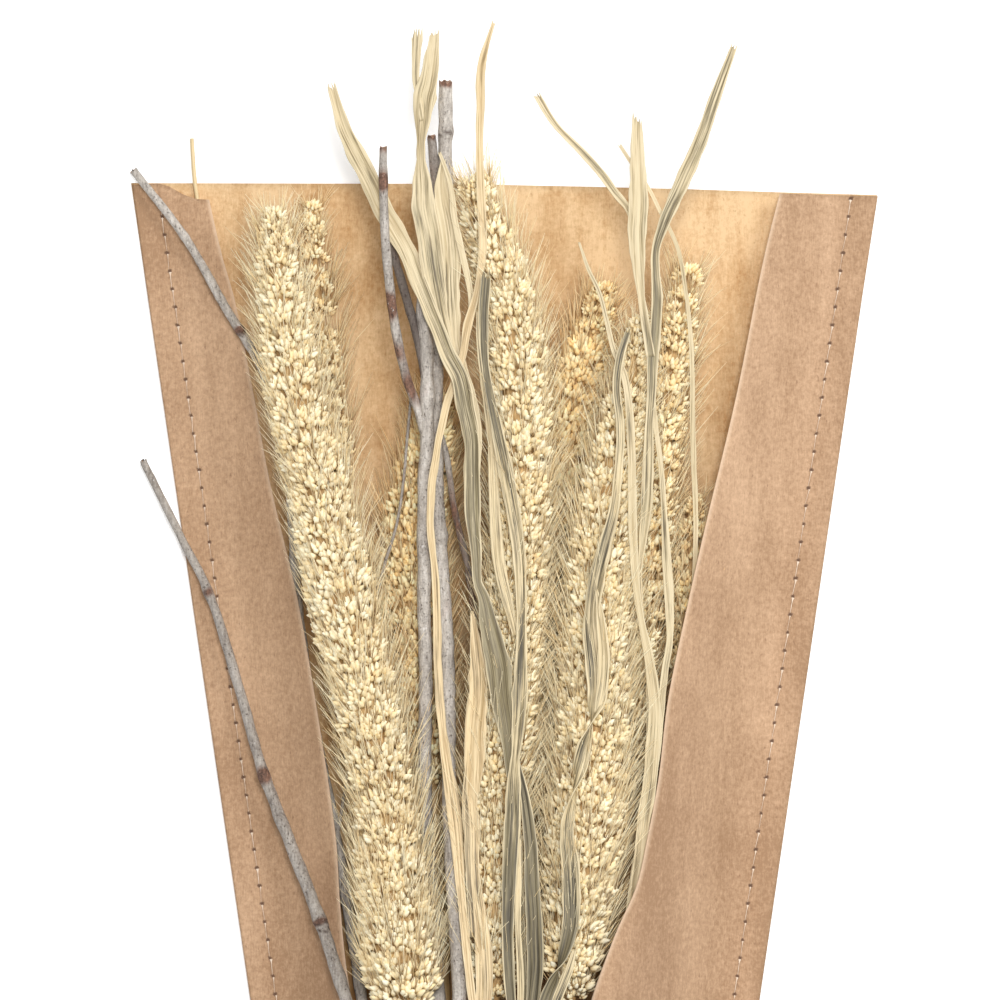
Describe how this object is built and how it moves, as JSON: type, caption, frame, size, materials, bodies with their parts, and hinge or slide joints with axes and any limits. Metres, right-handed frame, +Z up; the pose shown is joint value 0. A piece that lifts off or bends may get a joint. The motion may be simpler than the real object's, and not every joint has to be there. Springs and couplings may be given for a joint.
{
  "type": "bundle of dried foxtail millet in a paper sleeve",
  "caption": "Bundle of dried foxtail millet heads, bare twigs and long dry leaves, lying in a tapered sewn kraft-paper sleeve with a long front opening.",
  "frame": {"origin": "on the table under the middle of the bundle as it lies on the back of its sleeve", "axes": "+Y from the cut stems to the tips of the leaves, +Z up from the table, through the sleeve's front opening, +X to the right as seen from above with the tips away"},
  "size_m": [0.1944, 0.4799, 0.0432],
  "materials": {
    "grain_cream": "matt, cream millet grains",
    "grain_golden": "matt, golden millet grains",
    "straw": "satin dry straw",
    "bark": "matt weathered grey bark",
    "leaf_pale": "matt cream dry leaf",
    "leaf_grey": "matt grey-green dry leaf",
    "leaf_tan": "matt tan dry leaf",
    "kraft_paper": "matt brown kraft paper",
    "thread": "beige sewing thread",
    "twine": "natural jute twine"
  },
  "bodies": {
    "root": {"millet_head_1": "grain_cream", "millet_stalk_1": "straw", "millet_head_2": "grain_golden", "millet_stalk_2": "straw", "millet_head_3": "grain_cream", "millet_stalk_3": "straw", "millet_head_4": "grain_golden", "millet_stalk_4": "straw", "millet_head_5": "grain_cream", "millet_stalk_5": "straw", "millet_head_6": "grain_golden", "millet_stalk_6": "straw", "millet_head_7": "grain_golden", "millet_stalk_7": "straw", "millet_head_8": "grain_golden", "millet_stalk_8": "straw", "twig_1": "bark", "twig_2": "bark", "twig_3": "bark", "twig_4": "bark", "twig_5": "bark", "twig_6": "straw", "leafy_stem_1": "leaf_pale", "leafy_stem_2": "leaf_tan", "leafy_stem_3": "leaf_grey", "leafy_stem_4": "leaf_grey", "leafy_stem_5": "leaf_pale", "sleeve_back": "kraft_paper", "sleeve_front": "kraft_paper", "seam_thread_left": "thread", "seam_thread_right": "thread", "stem_tie": "twine"}
  },
  "joints": []
}
